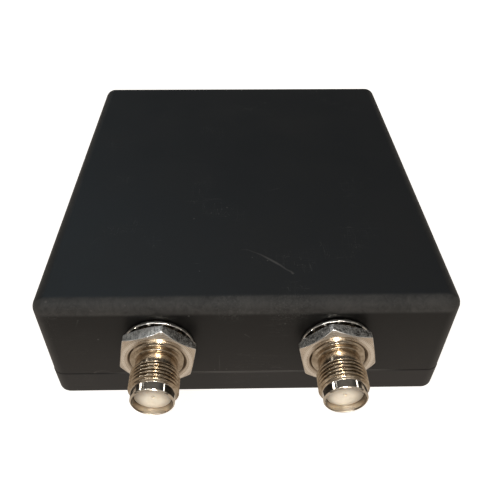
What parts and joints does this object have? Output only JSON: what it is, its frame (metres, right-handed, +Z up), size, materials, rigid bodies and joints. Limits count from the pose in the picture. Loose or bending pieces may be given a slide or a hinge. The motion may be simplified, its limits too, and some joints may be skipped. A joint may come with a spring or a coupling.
{
  "type": "cellular signal booster",
  "caption": "Flat black moulded enclosure with a shallow base cover and threaded coaxial jacks on its front, for amplifying a phone signal between antennas.",
  "frame": {"origin": "centre of the base cover's underside, which rests on a table", "axes": "+X to the right seen from the front, +Y from the jacks to the back, +Z up"},
  "size_m": [0.097, 0.1266, 0.0315],
  "materials": {
    "case_plastic": "fine matte moulded black ABS",
    "base_plastic": "fine matte moulded black ABS",
    "nickel": "brass with bright nickel plating",
    "nut_nickel": "brass with satin nickel plating, turned face",
    "washer_nickel": "nickel plated",
    "ptfe": "smooth off-white fluoropolymer",
    "gold": "gold plated",
    "o_ring_rubber": "smooth black",
    "screw_steel": "zinc plated",
    "circuit_board": "green solder mask",
    "shield_tin": "tin plated sheet",
    "filter_ceramic": "silvered ceramic block",
    "chip_black": "moulded epoxy",
    "capacitor_can": "drawn can",
    "socket_black": "moulded black",
    "pin_nickel": "nickel plated",
    "led_lens": "clear moulded",
    "heat_metal": "milled",
    "thermal_rubber": "soft silicone pad"
  },
  "bodies": {
    "case": {"capacitor_1": "capacitor_can", "capacitor_2": "capacitor_can", "dc_socket": "socket_black", "dc_socket_pin": "pin_nickel", "downlink_amp_chip": "chip_black", "duplexer_inside": "filter_ceramic", "duplexer_outside": "filter_ceramic", "gain_controller_chip": "chip_black", "heat_spreader": "heat_metal", "light_pipe": "led_lens", "main_pcb": "circuit_board", "o_ring_left": "o_ring_rubber", "o_ring_right": "o_ring_rubber", "pcb_screw_front_left": "screw_steel", "pcb_screw_front_right": "screw_steel", "pcb_screw_rear_left": "screw_steel", "pcb_screw_rear_right": "screw_steel", "power_inductor": "chip_black", "shield_frame_downlink": "shield_tin", "shield_frame_uplink": "shield_tin", "shield_lid_downlink": "shield_tin", "shield_lid_uplink": "shield_tin", "status_led": "led_lens", "thermal_pad": "thermal_rubber", "tnc_body_left": "nickel", "tnc_body_right": "nickel", "tnc_contact_left": "gold", "tnc_contact_right": "gold", "tnc_insulator_left": "ptfe", "tnc_insulator_right": "ptfe", "top_housing": "case_plastic", "uplink_amp_chip": "chip_black", "voltage_regulator": "chip_black"},
    "base": {"base_cover": "base_plastic"},
    "left_lock_washer": {"lock_washer_left": "washer_nickel"},
    "left_nut": {"hex_nut_left": "nut_nickel"},
    "right_lock_washer": {"lock_washer_right": "washer_nickel"},
    "right_nut": {"hex_nut_right": "nut_nickel"},
    "washer_front_left": {"base_washer_front_left": "screw_steel"},
    "screw_front_left": {"base_screw_front_left": "screw_steel"},
    "washer_front_right": {"base_washer_front_right": "screw_steel"},
    "screw_front_right": {"base_screw_front_right": "screw_steel"},
    "washer_rear_left": {"base_washer_rear_left": "screw_steel"},
    "screw_rear_left": {"base_screw_rear_left": "screw_steel"},
    "washer_rear_right": {"base_washer_rear_right": "screw_steel"},
    "screw_rear_right": {"base_screw_rear_right": "screw_steel"}
  },
  "joints": [
    {"name": "base_lift", "type": "slide", "parent": "case", "child": "base", "axis": [0, 0, -1], "range_m": [0, 0.045]},
    {"name": "left_nut_travel", "type": "slide", "parent": "case", "child": "left_lock_washer", "axis": [0, -1, 0], "range_m": [0, 0.00363]},
    {"name": "left_nut_turn", "type": "hinge", "parent": "left_lock_washer", "child": "left_nut", "pos_m": [-0.02065, -0.055, 0.0188], "axis": [0, -1, 0], "range_deg": [0, 1440]},
    {"name": "right_nut_travel", "type": "slide", "parent": "case", "child": "right_lock_washer", "axis": [0, -1, 0], "range_m": [0, 0.00363]},
    {"name": "right_nut_turn", "type": "hinge", "parent": "right_lock_washer", "child": "right_nut", "pos_m": [0.02065, -0.055, 0.0188], "axis": [0, -1, 0], "range_deg": [0, 1440]},
    {"name": "screw_front_left_travel", "type": "slide", "parent": "base", "child": "washer_front_left", "axis": [0, 0, -1], "range_m": [0, 0.00804]},
    {"name": "screw_front_left_turn", "type": "hinge", "parent": "washer_front_left", "child": "screw_front_left", "pos_m": [-0.04, -0.0465, 0], "axis": [0, 0, -1], "range_deg": [0, 2160]},
    {"name": "screw_front_right_travel", "type": "slide", "parent": "base", "child": "washer_front_right", "axis": [0, 0, -1], "range_m": [0, 0.00804]},
    {"name": "screw_front_right_turn", "type": "hinge", "parent": "washer_front_right", "child": "screw_front_right", "pos_m": [0.04, -0.0465, 0], "axis": [0, 0, -1], "range_deg": [0, 2160]},
    {"name": "screw_rear_left_travel", "type": "slide", "parent": "base", "child": "washer_rear_left", "axis": [0, 0, -1], "range_m": [0, 0.00804]},
    {"name": "screw_rear_left_turn", "type": "hinge", "parent": "washer_rear_left", "child": "screw_rear_left", "pos_m": [-0.04, 0.0465, 0], "axis": [0, 0, -1], "range_deg": [0, 2160]},
    {"name": "screw_rear_right_travel", "type": "slide", "parent": "base", "child": "washer_rear_right", "axis": [0, 0, -1], "range_m": [0, 0.00804]},
    {"name": "screw_rear_right_turn", "type": "hinge", "parent": "washer_rear_right", "child": "screw_rear_right", "pos_m": [0.04, 0.0465, 0], "axis": [0, 0, -1], "range_deg": [0, 2160]}
  ],
  "couplings": [
    {"joint": "left_nut_turn", "follows": "left_nut_travel", "rad_per_m": 6927.4},
    {"joint": "right_nut_turn", "follows": "right_nut_travel", "rad_per_m": 6927.4},
    {"joint": "screw_front_left_turn", "follows": "screw_front_left_travel", "rad_per_m": 4688.9},
    {"joint": "screw_front_right_turn", "follows": "screw_front_right_travel", "rad_per_m": 4688.9},
    {"joint": "screw_rear_left_turn", "follows": "screw_rear_left_travel", "rad_per_m": 4688.9},
    {"joint": "screw_rear_right_turn", "follows": "screw_rear_right_travel", "rad_per_m": 4688.9}
  ]
}
